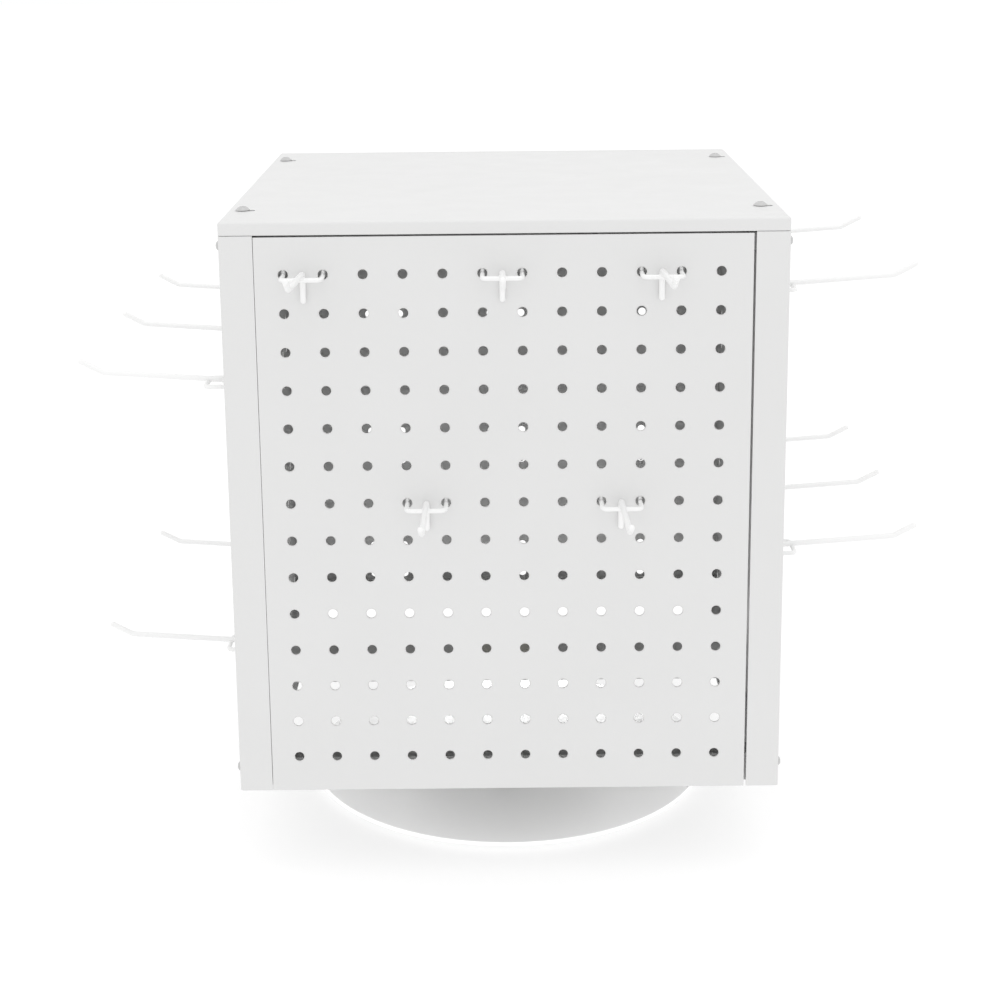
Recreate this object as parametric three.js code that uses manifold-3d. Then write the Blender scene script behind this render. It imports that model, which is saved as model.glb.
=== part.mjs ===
// Four-sided revolving pegboard display stand with wire hooks.
// Millimetres, +Z up, origin at the centre of the footprint on the counter.
// The front of the stand faces -Y.
import * as THREE from 'three';
import { mergeGeometries, mergeVertices } from 'three/addons/utils/BufferGeometryUtils.js';
import Module from 'manifold-3d';

const wasm = await Module();
wasm.setup();

// Driving dimensions
const SHEET = 1.2;
const GAP = 0.3;
const BODY_WIDTH = 364;
const BODY_BOTTOM = 64;
const PANEL_TOP = 443.9;
const COVER_TOP = 452.7;
const COVER_SKIRT = 8.5;
const FLANGE = 21.9;
const EDGE_FLANGE = 21;
const EDGE_INSET = 0.2;
const BEND_RADIUS = 2;

const PITCH = 25.4;
const ROWS = 14;
const LOWEST_ROW = BODY_BOTTOM + 24.5;
const HOLE_SIDES = 4;
const HOLE_RADIUS = 3.175;
const SIDE_COLUMNS = 14;
const FRONT_COLUMNS = 12;
const FRONT_PANEL_WIDTH = 318.4;
const FRONT_PANEL_SHIFT = -0.6;
const FRONT_GRID_SHIFT = -1.6;
const FRONT_PANEL_TOP = 443;
const RETURN_DEPTH = 12;

const RAIL_DEPTH = 20;
const RAIL_END_GAP = 0.8;
const RAIL_SETBACK = 4.5;
const LOW_RAIL_HEIGHT = 19;
const HIGH_RAIL_HEIGHT = 11;
const SIDE_SCREW_INSET = 9;
const LOW_SCREW_HEIGHT = BODY_BOTTOM + 14;
const HIGH_SCREW_HEIGHT = 436.6;
const CROSSBAR_WIDTH = 40;
const CROSSBAR_HEIGHT = 18.5;
const LOW_CROSSBAR_TOP = 92;

const DISC_RADIUS = 150;
const DISC_BOTTOM = 4;
const DISC_THICKNESS = 3;
const FOOT_RADIUS = 12;
const FOOT_CIRCLE = 125;
const POLE_RADIUS = 9.5;
const POLE_TOP = 430;
const HUB_RADIUS = 26;
const HUB_HEIGHT = 12;
const BUSH_WALL = 3.5;

const PRONG_RADIUS = 1.4;
const ARM_RADIUS = 1.8;
const PRONG_REACH = 14.5;
const PRONG_HEIGHT = -0.8;
const LEG_TOP = 10.5;
const ARM_HEIGHT = 1.5;
const ARM_SLOPE = Math.tan(THREE.MathUtils.degToRad(4.1));
const ARM_BEND_REACH = 83.6;
const TIP_REACH = 99.3;
const TIP_RISE = 7.9;
const TAIL_BOTTOM = -18.3;

const COVER_SCREW_X = 170.6;
const COVER_SCREW_SHIFT = -1.5;
const COVER_SCREW_Y = 131;
const COVER_SLOT_RADIUS = 2.3;
const COVER_SLOT_LENGTH = 6;

// Surface colours of the finishes
const powderCoat = new THREE.MeshStandardMaterial({ color: 0xeeeeec, roughness: 0.45, metalness: 0.0 });
const coatedWire = new THREE.MeshStandardMaterial({ color: 0xf6f6f4, roughness: 0.3, metalness: 0.0 });
const zincSteel = new THREE.MeshStandardMaterial({ color: 0xb4b6b8, roughness: 0.35, metalness: 0.9 });
const nylon = new THREE.MeshStandardMaterial({ color: 0xe6e2d6, roughness: 0.5, metalness: 0.0 });
const rubber = new THREE.MeshStandardMaterial({ color: 0x3a3a3a, roughness: 0.8, metalness: 0.0 });

const stand = new THREE.Group();

// A closed geometry as a solid, with its faces pointing out.
function toSolid(geometry) {
  const bare = geometry.index ? geometry.toNonIndexed() : geometry.clone();
  bare.deleteAttribute('normal');
  bare.deleteAttribute('uv');
  const merged = mergeVertices(bare, 1e-4);
  const places = merged.attributes.position.array;
  const index = merged.index.array;
  const kept = [];
  let volume = 0;
  for (let i = 0; i < index.length; i += 3) {
    const [a, b, c] = [index[i], index[i + 1], index[i + 2]];
    if (a === b || b === c || c === a) continue;
    kept.push(a, b, c);
    const p = new THREE.Vector3().fromArray(places, 3 * a);
    const q = new THREE.Vector3().fromArray(places, 3 * b);
    const r = new THREE.Vector3().fromArray(places, 3 * c);
    volume += p.dot(q.cross(r));
  }
  if (volume < 0) kept.reverse();
  return new wasm.Manifold(new wasm.Mesh({
    numProp: 3,
    vertProperties: new Float32Array(places),
    triVerts: new Uint32Array(kept),
  }));
}

// A solid as a named mesh, turned about the upright axis and added to the stand.
function addPiece(name, solid, material, turn = 0) {
  const { vertProperties, triVerts } = solid.getMesh();
  const geometry = new THREE.BufferGeometry();
  geometry.setAttribute('position', new THREE.BufferAttribute(new Float32Array(vertProperties), 3));
  geometry.setIndex(new THREE.BufferAttribute(new Uint32Array(triVerts), 1));
  geometry.computeVertexNormals();
  const mesh = new THREE.Mesh(geometry, material);
  mesh.name = name;
  mesh.rotation.z = turn;
  stand.add(mesh);
  return mesh;
}

// A block between two corners.
function block([x0, y0, z0], [x1, y1, z1]) {
  const geometry = new THREE.BoxGeometry(x1 - x0, y1 - y0, z1 - z0);
  geometry.translate((x0 + x1) / 2, (y0 + y1) / 2, (z0 + z1) / 2);
  return toSolid(geometry);
}

// A turned part about the upright axis, from its closed profile of (radius, height) points.
function turned(profile, sides) {
  const points = profile.map(([radius, height]) => new THREE.Vector2(radius, height));
  const geometry = new THREE.LatheGeometry(points, sides);
  geometry.rotateX(Math.PI / 2);
  return toSolid(geometry);
}

// A round bar along Z.
function uprightBar(radius, low, high, sides, x = 0, y = 0) {
  const geometry = new THREE.CylinderGeometry(radius, radius, high - low, sides);
  geometry.rotateX(Math.PI / 2);
  geometry.translate(x, y, (low + high) / 2);
  return toSolid(geometry);
}

// Round bars along Y through the sheet at y, one at each [x, z] place, with flats level.
function sheetPunches(places, y, radius, sides) {
  const punches = places.map(([x, z]) => {
    const geometry = new THREE.CylinderGeometry(radius, radius, 4 * SHEET, sides);
    geometry.rotateY(Math.PI / sides);
    geometry.translate(x, y, z);
    return geometry;
  });
  return toSolid(mergeGeometries(punches));
}

// A punch whose straight sides enclose the same area as the round hole.
function sameAreaRadius(radius, sides) {
  return radius * Math.sqrt((2 * Math.PI) / (sides * Math.sin((2 * Math.PI) / sides)));
}

// The hole places of a grid centred on x.
function gridPlaces(columns, centre) {
  const places = [];
  for (let row = 0; row < ROWS; row += 1) {
    for (let column = 0; column < columns; column += 1) {
      places.push([centre + (column - (columns - 1) / 2) * PITCH, LOWEST_ROW + row * PITCH]);
    }
  }
  return places;
}

const FACE = -BODY_WIDTH / 2;
const PUNCH_RADIUS = sameAreaRadius(HOLE_RADIUS, HOLE_SIDES);

// Side panel: a perforated web with folded flanges on all four edges, in the front position.
function sidePanel(coverScrewX) {
  const half = BODY_WIDTH / 2;
  const outline = new THREE.Shape();
  outline.moveTo(-half, FACE + FLANGE);
  outline.lineTo(-half, FACE + BEND_RADIUS);
  outline.lineTo(-half + 0.3 * BEND_RADIUS, FACE + 0.3 * BEND_RADIUS);
  outline.lineTo(-half + BEND_RADIUS, FACE);
  outline.lineTo(half - BEND_RADIUS, FACE);
  outline.lineTo(half - 0.3 * BEND_RADIUS, FACE + 0.3 * BEND_RADIUS);
  outline.lineTo(half, FACE + BEND_RADIUS);
  outline.lineTo(half, FACE + FLANGE);
  outline.lineTo(half - SHEET, FACE + FLANGE);
  outline.lineTo(half - SHEET, FACE + BEND_RADIUS);
  outline.lineTo(half - BEND_RADIUS, FACE + SHEET);
  outline.lineTo(-half + BEND_RADIUS, FACE + SHEET);
  outline.lineTo(-half + SHEET, FACE + BEND_RADIUS);
  outline.lineTo(-half + SHEET, FACE + FLANGE);
  outline.closePath();
  const channel = new THREE.ExtrudeGeometry(outline, {
    depth: PANEL_TOP - BODY_BOTTOM,
    bevelEnabled: false,
  });
  channel.translate(0, 0, BODY_BOTTOM);
  let solid = toSolid(channel);
  const inner = half - 0.75 * SHEET;
  const back = FACE + EDGE_FLANGE;
  const front = FACE + 0.75 * SHEET;
  const low = BODY_BOTTOM + EDGE_INSET;
  const high = PANEL_TOP - EDGE_INSET;
  solid = solid.add(block([-inner, front, low], [inner, back, low + SHEET]));
  solid = solid.add(block([-inner, front, high - SHEET], [inner, back, high]));
  solid = solid.subtract(sheetPunches(gridPlaces(SIDE_COLUMNS, 0), FACE, PUNCH_RADIUS, HOLE_SIDES));
  const screwX = half - SIDE_SCREW_INSET;
  const screws = [];
  for (const x of [-screwX, screwX]) {
    screws.push([x, LOW_SCREW_HEIGHT], [x, HIGH_SCREW_HEIGHT]);
  }
  solid = solid.subtract(sheetPunches(screws, FACE, 2.4, 8));
  for (const x of [-COVER_SCREW_Y, COVER_SCREW_Y]) {
    const y = FACE + half - coverScrewX;
    solid = solid.subtract(uprightBar(2.4, PANEL_TOP - 3, PANEL_TOP + 3, 8, x, y));
  }
  return solid;
}

// Front or back panel: a perforated face with a short return on each edge.
function facePanel() {
  const left = FRONT_PANEL_SHIFT - FRONT_PANEL_WIDTH / 2;
  const right = FRONT_PANEL_SHIFT + FRONT_PANEL_WIDTH / 2;
  const returnBottom = BODY_BOTTOM + LOW_RAIL_HEIGHT + 5;
  const returnTop = FRONT_PANEL_TOP - HIGH_RAIL_HEIGHT - 4;
  const middle = FACE + SHEET / 2;
  const depth = FACE + RETURN_DEPTH;
  let solid = block([left, FACE, BODY_BOTTOM], [right, FACE + SHEET, FRONT_PANEL_TOP]);
  for (const x of [left + EDGE_INSET, right - EDGE_INSET - SHEET]) {
    solid = solid.add(block([x, middle, returnBottom], [x + SHEET, depth, returnTop]));
  }
  const places = gridPlaces(FRONT_COLUMNS, FRONT_GRID_SHIFT);
  return solid.subtract(sheetPunches(places, FACE, PUNCH_RADIUS, HOLE_SIDES));
}

// Rail behind the face panel: a channel with closed ends that the side screws go into.
function rail(low, high, screwHeight, opensUp) {
  const half = BODY_WIDTH / 2 - SHEET - RAIL_END_GAP;
  const front = FACE + SHEET + RAIL_SETBACK;
  const back = front + RAIL_DEPTH;
  const pocketLow = opensUp ? low + SHEET : low - 1;
  const pocketHigh = opensUp ? high + 1 : high - SHEET;
  let solid = block([-half, front, low], [half, back, high]);
  solid = solid.subtract(block(
    [-half + SHEET, front + SHEET, pocketLow],
    [half - SHEET, back - SHEET, pocketHigh],
  ));
  const screwY = FACE + SIDE_SCREW_INSET;
  const hole = new THREE.CylinderGeometry(2.4, 2.4, 2 * half + 10, 8);
  hole.rotateZ(Math.PI / 2);
  hole.translate(0, screwY, screwHeight);
  return solid.subtract(toSolid(hole));
}

// Crossbar between the side panels: a channel that opens down, with a hole for the bush.
function crossbar(top, holeRadius) {
  const half = BODY_WIDTH / 2 - SHEET - GAP;
  const width = CROSSBAR_WIDTH / 2;
  const low = top - CROSSBAR_HEIGHT;
  let solid = block([-half, -width, low], [half, width, top]);
  solid = solid.subtract(block(
    [-half - 1, -width + SHEET, low - 1],
    [half + 1, width - SHEET, top - SHEET],
  ));
  if (holeRadius > 0) {
    solid = solid.subtract(uprightBar(holeRadius, top - 5, top + 5, 16));
  }
  return solid;
}

// Top cover: a flat lid with a folded skirt, which slides under four screws in short slots.
function topCover() {
  const half = BODY_WIDTH / 2;
  const outline = new THREE.Shape();
  const cut = 1;
  outline.moveTo(-half + cut, -half);
  outline.lineTo(half - cut, -half);
  outline.lineTo(half, -half + cut);
  outline.lineTo(half, half - cut);
  outline.lineTo(half - cut, half);
  outline.lineTo(-half + cut, half);
  outline.lineTo(-half, half - cut);
  outline.lineTo(-half, -half + cut);
  outline.closePath();
  const lid = new THREE.ExtrudeGeometry(outline, {
    depth: COVER_SKIRT - 1,
    bevelEnabled: true,
    bevelThickness: 0.5,
    bevelSize: 0.5,
    bevelOffset: -0.5,
    bevelSegments: 1,
  });
  lid.translate(0, 0, COVER_TOP - COVER_SKIRT + 0.5);
  const inner = half - SHEET;
  let solid = toSolid(lid);
  solid = solid.subtract(block(
    [-inner, -inner, COVER_TOP - COVER_SKIRT - 1],
    [inner, inner, COVER_TOP - SHEET],
  ));
  for (const screwX of [-COVER_SCREW_X, COVER_SCREW_X]) {
    for (const y of [-COVER_SCREW_Y, COVER_SCREW_Y]) {
      const x = screwX + COVER_SCREW_SHIFT;
      const slot = new THREE.Shape();
      slot.absarc(0, 0, COVER_SLOT_RADIUS, Math.PI / 2, (3 * Math.PI) / 2);
      slot.absarc(COVER_SLOT_LENGTH, 0, COVER_SLOT_RADIUS, -Math.PI / 2, Math.PI / 2);
      slot.closePath();
      const punch = new THREE.ExtrudeGeometry(slot, {
        depth: 10,
        bevelEnabled: false,
        curveSegments: 6,
      });
      punch.translate(x, y, COVER_TOP - 5);
      solid = solid.subtract(toSolid(punch));
    }
  }
  return solid;
}

// Screw with a rounded head, its head resting at height 0 and its shank below.
function screw(headRadius, headHeight, shankRadius, shankLength) {
  return turned([
    [0, -shankLength],
    [shankRadius, -shankLength],
    [shankRadius, 0],
    [headRadius, 0],
    [headRadius * 0.8, headHeight * 0.7],
    [0, headHeight],
  ], 10);
}

// The centre line of a bent wire, sampled exactly at its own corners.
class BentWire extends THREE.Curve {
  constructor(corners) {
    super();
    this.corners = corners;
  }

  getPoint(t, target = new THREE.Vector3()) {
    const last = this.corners.length - 1;
    const place = THREE.MathUtils.clamp(t, 0, 1) * last;
    const step = Math.min(Math.floor(place), last - 1);
    return target.lerpVectors(this.corners[step], this.corners[step + 1], place - step);
  }

  getPointAt(u, target) {
    return this.getPoint(u, target);
  }

  getTangentAt(u, target = new THREE.Vector3()) {
    const last = this.corners.length - 1;
    const corner = Math.round(u * last);
    const before = this.corners[Math.max(corner - 1, 0)];
    const here = this.corners[corner];
    const after = this.corners[Math.min(corner + 1, last)];
    target.subVectors(here, before).normalize();
    return target.add(new THREE.Vector3().subVectors(after, here).normalize()).normalize();
  }
}

// A wire of one radius along the corners of its centre line.
function wire(corners, radius, sides) {
  const section = new THREE.Shape();
  for (let side = 0; side <= sides; side += 1) {
    const angle = ((side + 0.5) * 2 * Math.PI) / sides;
    const x = radius * Math.cos(angle);
    const y = radius * Math.sin(angle);
    if (side === 0) section.moveTo(x, y);
    else section.lineTo(x, y);
  }
  const path = new BentWire(corners.map(([x, y, z]) => new THREE.Vector3(x, y, z)));
  return toSolid(new THREE.ExtrudeGeometry(section, {
    steps: corners.length - 1,
    extrudePath: path,
  }));
}

// Hook about the middle of its two holes on the outer face, pointing to -Y.
// Two prongs pass through the sheet and turn up behind it; a crossbar joins them in front.
// The arm is welded on the crossbar, turns down against the sheet and up at its tip.
function hook() {
  const inside = SHEET + PRONG_RADIUS + 0.4;
  const side = (x) => [
    [x, inside, LEG_TOP],
    [x, inside, PRONG_HEIGHT + 2.6],
    [x, inside - 0.8, PRONG_HEIGHT + 0.8],
    [x, inside - 2.6, PRONG_HEIGHT],
    [x, -PRONG_REACH + 3.2, PRONG_HEIGHT],
    [x - Math.sign(x) * 0.9, -PRONG_REACH + 0.9, PRONG_HEIGHT],
    [x - Math.sign(x) * 3.2, -PRONG_REACH, PRONG_HEIGHT],
  ];
  const loop = wire([...side(-PITCH / 2), ...side(PITCH / 2).reverse()], PRONG_RADIUS, 5);
  const armZ = (reach) => ARM_HEIGHT + (reach - PRONG_REACH) * ARM_SLOPE;
  const tailReach = ARM_RADIUS + 0.4;
  const arm = wire([
    [0, -tailReach, TAIL_BOTTOM],
    [0, -tailReach, armZ(tailReach) - 3],
    [0, -tailReach - 0.8, armZ(tailReach) - 0.9],
    [0, -tailReach - 2.8, armZ(tailReach + 2.8)],
    [0, -ARM_BEND_REACH + 2, armZ(ARM_BEND_REACH - 2)],
    [0, -ARM_BEND_REACH - 2, armZ(ARM_BEND_REACH) + 0.9],
    [0, -TIP_REACH, armZ(ARM_BEND_REACH) + TIP_RISE],
  ], ARM_RADIUS, 6);
  return loop.add(arm);
}

// Base: round plate on rubber feet, with a hub and a fixed pole
addPiece('base_disc', turned([
  [5.3, DISC_BOTTOM],
  [DISC_RADIUS - 0.8, DISC_BOTTOM],
  [DISC_RADIUS, DISC_BOTTOM + 0.8],
  [DISC_RADIUS, DISC_BOTTOM + DISC_THICKNESS - 0.8],
  [DISC_RADIUS - 0.8, DISC_BOTTOM + DISC_THICKNESS],
  [5.3, DISC_BOTTOM + DISC_THICKNESS],
  [5.3, DISC_BOTTOM],
], 60), powderCoat);

for (let foot = 0; foot < 4; foot += 1) {
  const angle = Math.PI / 4 + (foot * Math.PI) / 2;
  const x = FOOT_CIRCLE * Math.cos(angle);
  const y = FOOT_CIRCLE * Math.sin(angle);
  const pad = uprightBar(FOOT_RADIUS, 0, DISC_BOTTOM - GAP, 20, x, y);
  addPiece(`base_foot_${foot + 1}`, pad, rubber);
}

const discTop = DISC_BOTTOM + DISC_THICKNESS;
addPiece('base_hub', turned([
  [POLE_RADIUS + GAP, discTop + GAP],
  [HUB_RADIUS, discTop + GAP],
  [HUB_RADIUS, discTop + 4],
  [HUB_RADIUS - 9, discTop + 5],
  [HUB_RADIUS - 10, discTop + HUB_HEIGHT],
  [POLE_RADIUS + GAP, discTop + HUB_HEIGHT],
  [POLE_RADIUS + GAP, discTop + GAP],
], 24), zincSteel);

addPiece('pole', turned([
  [5.3, discTop + GAP],
  [POLE_RADIUS, discTop + GAP],
  [POLE_RADIUS, POLE_TOP - 1],
  [POLE_RADIUS - 1, POLE_TOP],
  [0, POLE_TOP],
  [0, discTop + 28],
  [5.3, discTop + 28],
  [5.3, discTop + GAP],
], 20), zincSteel);

addPiece('pole_bolt', turned([
  [0, 0.8],
  [9, 0.8],
  [9, DISC_BOTTOM - GAP],
  [5, DISC_BOTTOM - GAP],
  [5, discTop + 26],
  [0, discTop + 26],
], 12), zincSteel);

// Turning body: four perforated walls, rails, crossbars, cover and bushes
addPiece('side_panel_right', sidePanel(COVER_SCREW_X + COVER_SCREW_SHIFT), powderCoat, Math.PI / 2);
addPiece('side_panel_left', sidePanel(COVER_SCREW_X - COVER_SCREW_SHIFT), powderCoat, -Math.PI / 2);
addPiece('front_panel', facePanel(), powderCoat);
addPiece('back_panel', facePanel(), powderCoat, Math.PI);

const railLow = BODY_BOTTOM + EDGE_INSET + SHEET + GAP;
const railHigh = PANEL_TOP - EDGE_INSET - SHEET - GAP;
const lowRail = rail(railLow, railLow + LOW_RAIL_HEIGHT, LOW_SCREW_HEIGHT, true);
const highRail = rail(railHigh - HIGH_RAIL_HEIGHT, railHigh, HIGH_SCREW_HEIGHT, false);
addPiece('rail_bottom_front', lowRail, powderCoat);
addPiece('rail_bottom_back', lowRail, powderCoat, Math.PI);
addPiece('rail_top_front', highRail, powderCoat);
addPiece('rail_top_back', highRail, powderCoat, Math.PI);

const bushRadius = POLE_RADIUS + GAP + BUSH_WALL;
addPiece('crossbar_bottom', crossbar(LOW_CROSSBAR_TOP, bushRadius + GAP), powderCoat);
addPiece('crossbar_top', crossbar(railHigh, 0), powderCoat);

addPiece('bush_bottom', turned([
  [POLE_RADIUS + GAP, LOW_CROSSBAR_TOP - 14],
  [bushRadius, LOW_CROSSBAR_TOP - 14],
  [bushRadius, LOW_CROSSBAR_TOP + GAP],
  [bushRadius + 6, LOW_CROSSBAR_TOP + GAP],
  [bushRadius + 6, LOW_CROSSBAR_TOP + 3],
  [POLE_RADIUS + GAP, LOW_CROSSBAR_TOP + 3],
  [POLE_RADIUS + GAP, LOW_CROSSBAR_TOP - 14],
], 20), nylon);

const cupTop = railHigh - SHEET - GAP;
addPiece('bush_top', turned([
  [0, cupTop],
  [0, POLE_TOP + GAP],
  [POLE_RADIUS + GAP, POLE_TOP + GAP],
  [POLE_RADIUS + GAP, POLE_TOP - 20],
  [bushRadius, POLE_TOP - 20],
  [bushRadius, cupTop - 3],
  [CROSSBAR_WIDTH / 2 - SHEET - 1, cupTop - 3],
  [CROSSBAR_WIDTH / 2 - SHEET - 1, cupTop],
  [0, cupTop],
], 20), nylon);

addPiece('top_cover', topCover(), powderCoat);

const cornerNames = [
  ['front_left', -1, -1],
  ['front_right', 1, -1],
  ['back_left', -1, 1],
  ['back_right', 1, 1],
];
for (const [name, x, y] of cornerNames) {
  const piece = addPiece(`cover_screw_${name}`, screw(4.8, 2.6, 2, 13), powderCoat);
  piece.position.set(x * COVER_SCREW_X + COVER_SCREW_SHIFT, y * COVER_SCREW_Y, COVER_TOP + GAP);
}

for (const [name, x, y] of cornerNames) {
  for (const [level, height] of [['bottom', LOW_SCREW_HEIGHT], ['top', HIGH_SCREW_HEIGHT]]) {
    const piece = addPiece(`side_screw_${name}_${level}`, screw(3.6, 2.2, 2, 7), powderCoat);
    piece.rotation.y = (x * Math.PI) / 2;
    const inset = BODY_WIDTH / 2 - SIDE_SCREW_INSET;
    piece.position.set(x * (BODY_WIDTH / 2 + GAP), y * inset, height);
  }
}

// Hooks: [row from the top, column of the hook's middle counted from the left hole as 1]
const hookPlaces = {
  front: { turn: 0, columns: FRONT_COLUMNS, shift: FRONT_GRID_SHIFT },
  right: { turn: Math.PI / 2, columns: SIDE_COLUMNS, shift: 0 },
  back: { turn: Math.PI, columns: FRONT_COLUMNS, shift: FRONT_GRID_SHIFT },
  left: { turn: -Math.PI / 2, columns: SIDE_COLUMNS, shift: 0 },
};
hookPlaces.front.places = [[1, 1.5], [1, 6.5], [1, 10.5], [7, 4.5], [7, 9.5]];
hookPlaces.right.places = [[2, 3.5], [2, 11.5], [9, 2.5], [9, 7.5], [9, 12.5]];
hookPlaces.back.places = [[3, 3.5], [3, 9.5], [10, 1.5], [10, 6.5], [10, 11.5]];
hookPlaces.left.places = [[4, 1.5], [4, 7.5], [4, 13.5], [12, 3.5], [12, 11.5]];

const hookSolid = hook();
for (const [face, { turn, columns, shift, places }] of Object.entries(hookPlaces)) {
  places.forEach(([row, column], number) => {
    const along = shift + (column - (columns + 1) / 2) * PITCH;
    const height = LOWEST_ROW + (ROWS - row) * PITCH;
    const piece = addPiece(`hook_${face}_${number + 1}`, hookSolid, coatedWire, turn);
    piece.position.set(along, FACE, height).applyAxisAngle(new THREE.Vector3(0, 0, 1), turn);
  });
}

export default stand;
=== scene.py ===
"""Looks of a revolving four-sided pegboard display stand with wire hooks.

Lengths are in metres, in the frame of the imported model: the stand is upright along Z,
its front panel faces -Y and its feet stand on Z = 0.
"""

from __future__ import annotations

import logging
import math
from dataclasses import dataclass, field
from enum import Enum

import bpy
import numpy as np
from mathutils import Matrix

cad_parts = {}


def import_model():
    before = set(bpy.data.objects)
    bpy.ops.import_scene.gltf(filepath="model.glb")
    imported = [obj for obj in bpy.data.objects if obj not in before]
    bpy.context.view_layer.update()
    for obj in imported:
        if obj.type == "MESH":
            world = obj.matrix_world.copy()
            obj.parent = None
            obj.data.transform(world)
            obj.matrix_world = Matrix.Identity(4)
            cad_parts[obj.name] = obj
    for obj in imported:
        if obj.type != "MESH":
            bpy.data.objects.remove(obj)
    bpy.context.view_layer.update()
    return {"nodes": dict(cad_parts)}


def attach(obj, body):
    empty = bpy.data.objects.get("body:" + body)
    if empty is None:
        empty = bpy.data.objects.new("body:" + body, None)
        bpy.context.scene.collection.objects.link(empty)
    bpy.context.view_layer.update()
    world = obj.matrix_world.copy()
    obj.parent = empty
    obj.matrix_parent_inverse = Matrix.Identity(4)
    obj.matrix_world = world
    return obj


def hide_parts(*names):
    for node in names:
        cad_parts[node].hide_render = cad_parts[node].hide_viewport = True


log = logging.getLogger("display_stand")

MM = 0.001
WEAR = "wear"


class Facing(Enum):
    """The four faces of the stand, each with its turn about the upright axis."""

    FRONT = 0.0
    RIGHT = math.pi / 2
    BACK = math.pi
    LEFT = -math.pi / 2


# --------------------------------------------------------------------------- surfaces


@dataclass
class Surface:
    """Points and faces of a piece, and how rubbed its paint is at each point."""

    points: np.ndarray
    faces: list[np.ndarray]
    wear: np.ndarray | None = None

    def worn(self) -> np.ndarray:
        """Return the wear at each point, zero where none is set."""
        return np.zeros(len(self.points)) if self.wear is None else self.wear

    def joined(self, *others: Surface) -> Surface:
        """Put other surfaces beside this one in one mesh.

        Args:
            others: The surfaces to add.

        Returns:
            One surface that holds them all.
        """
        parts = (self, *others)
        starts = np.cumsum([0, *[len(part.points) for part in parts[:-1]]])
        faces = [block + start for part, start in zip(parts, starts) for block in part.faces]
        points = np.concatenate([part.points for part in parts])
        return Surface(points, faces, np.concatenate([part.worn() for part in parts]))

    def placed(self, turn: float = 0.0, shift: tuple[float, float, float] = (0, 0, 0)) -> Surface:
        """Shift the surface and then turn it about the upright axis.

        Args:
            turn: Angle about Z in radians.
            shift: Move along X, Y and Z before the turn.

        Returns:
            The moved surface.
        """
        cosine, sine = math.cos(turn), math.sin(turn)
        spin = np.array([[cosine, sine, 0], [-sine, cosine, 0], [0, 0, 1]])
        return Surface((self.points + np.array(shift)) @ spin, self.faces, self.wear)

    def leaned(self, matrix: np.ndarray) -> Surface:
        """Turn the surface by a rotation matrix.

        Args:
            matrix: Three by three rotation that acts on column points.

        Returns:
            The turned surface.
        """
        return Surface(self.points @ matrix.T, self.faces, self.wear)

    def welded(self) -> Surface:
        """Merge points that share a place, to a ten-thousandth of a millimetre.

        Returns:
            The surface with each place held once.
        """
        _, first, inverse = np.unique(
            np.round(self.points, 7), axis=0, return_index=True, return_inverse=True
        )
        inverse = inverse.reshape(-1)
        wear = np.zeros(len(first))
        np.maximum.at(wear, inverse, self.worn())
        return Surface(self.points[first], [inverse[block] for block in self.faces], wear)


def grid_faces(
    rows: int, columns: int, close_rows: bool = False, close_columns: bool = False
) -> np.ndarray:
    """Four-sided faces between neighbouring points of a grid held row by row.

    Args:
        rows: Number of rows.
        columns: Number of points in a row.
        close_rows: Whether the last row joins the first.
        close_columns: Whether each row is a ring.

    Returns:
        Point numbers of each face.
    """
    row = np.arange(rows if close_rows else rows - 1)
    column = np.arange(columns if close_columns else columns - 1)
    row, column = np.meshgrid(row, column, indexing="ij")
    next_row = (row + 1) % rows
    next_column = (column + 1) % columns
    corners = (
        row * columns + column,
        row * columns + next_column,
        next_row * columns + next_column,
        next_row * columns + column,
    )
    return np.stack(corners, -1).reshape(-1, 4)


def fan_faces(hub: int, ring: np.ndarray) -> np.ndarray:
    """Triangles from one point to each side of a ring, wound with the ring.

    Args:
        hub: Number of the middle point.
        ring: Point numbers round the ring.

    Returns:
        Point numbers of each triangle.
    """
    return np.stack([np.full(len(ring), hub), ring, np.roll(ring, -1)], -1)


def ringed(rings: np.ndarray, first_pole: np.ndarray, last_pole: np.ndarray) -> Surface:
    """Close a stack of rings with a point at each end.

    Args:
        rings: Points as stations by ring points by three.
        first_pole: The point that closes the first ring.
        last_pole: The point that closes the last ring.

    Returns:
        The closed surface.
    """
    stations, sides = rings.shape[:2]
    count = stations * sides
    points = np.concatenate([rings.reshape(-1, 3), [first_pole, last_pole]])
    start = fan_faces(count, np.arange(sides)[::-1])
    end = fan_faces(count + 1, np.arange(count - sides, count))
    return Surface(points, [grid_faces(stations, sides, close_columns=True), start, end])


def turned(profile: np.ndarray, segments: int) -> Surface:
    """Turn a profile about the upright axis.

    Each point is (radius cos a, radius sin a, height), for the angle a round the axis. A
    profile that starts and ends on the axis is closed with a pole at each end; any other
    profile is a loop.

    Args:
        profile: Rows of (radius, height), going out below and up outside.
        segments: Number of steps round the axis.

    Returns:
        The closed turned surface.
    """
    profile = np.asarray(profile, float)
    angle = np.arange(segments) * (2 * math.pi / segments)
    on_axis = profile[0, 0] < 1e-9
    body = profile[1:-1] if on_axis else profile
    circle = np.stack([np.cos(angle), np.sin(angle), np.zeros(segments)], -1)
    rings = body[:, None, :1] * circle[None] + body[:, None, 1:] * np.array([0, 0, 1.0])
    if on_axis:
        return ringed(rings, np.array([0, 0, profile[0, 1]]), np.array([0, 0, profile[-1, 1]]))
    faces = grid_faces(len(body), segments, close_rows=True, close_columns=True)
    return Surface(rings.reshape(-1, 3), [faces])


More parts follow.
